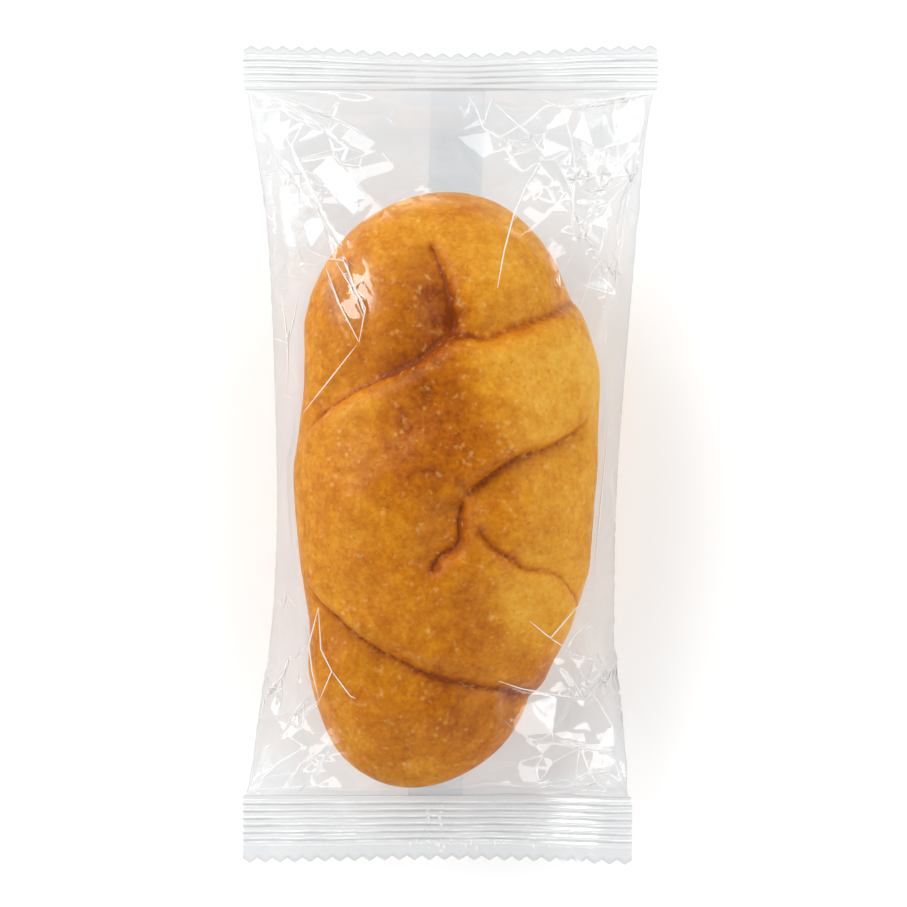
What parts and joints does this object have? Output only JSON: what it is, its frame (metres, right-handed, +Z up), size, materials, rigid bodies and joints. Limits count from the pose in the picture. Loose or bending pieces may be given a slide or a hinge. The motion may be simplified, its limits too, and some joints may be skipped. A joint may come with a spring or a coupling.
{
  "type": "packaged croissant",
  "caption": "Croissant sealed in a clear flow-wrap bag with crimped, saw-toothed end seals, lying flat.",
  "frame": {"origin": "centre of the bag's box, on the table", "axes": "+Z up, +Y along the bag towards the narrower seal, +X to the right seen from above"},
  "size_m": [0.0922, 0.1816, 0.0412],
  "materials": {
    "film": "gloss"
  },
  "bodies": {
    "root": {"sealed_bag": "film"}
  },
  "joints": []
}
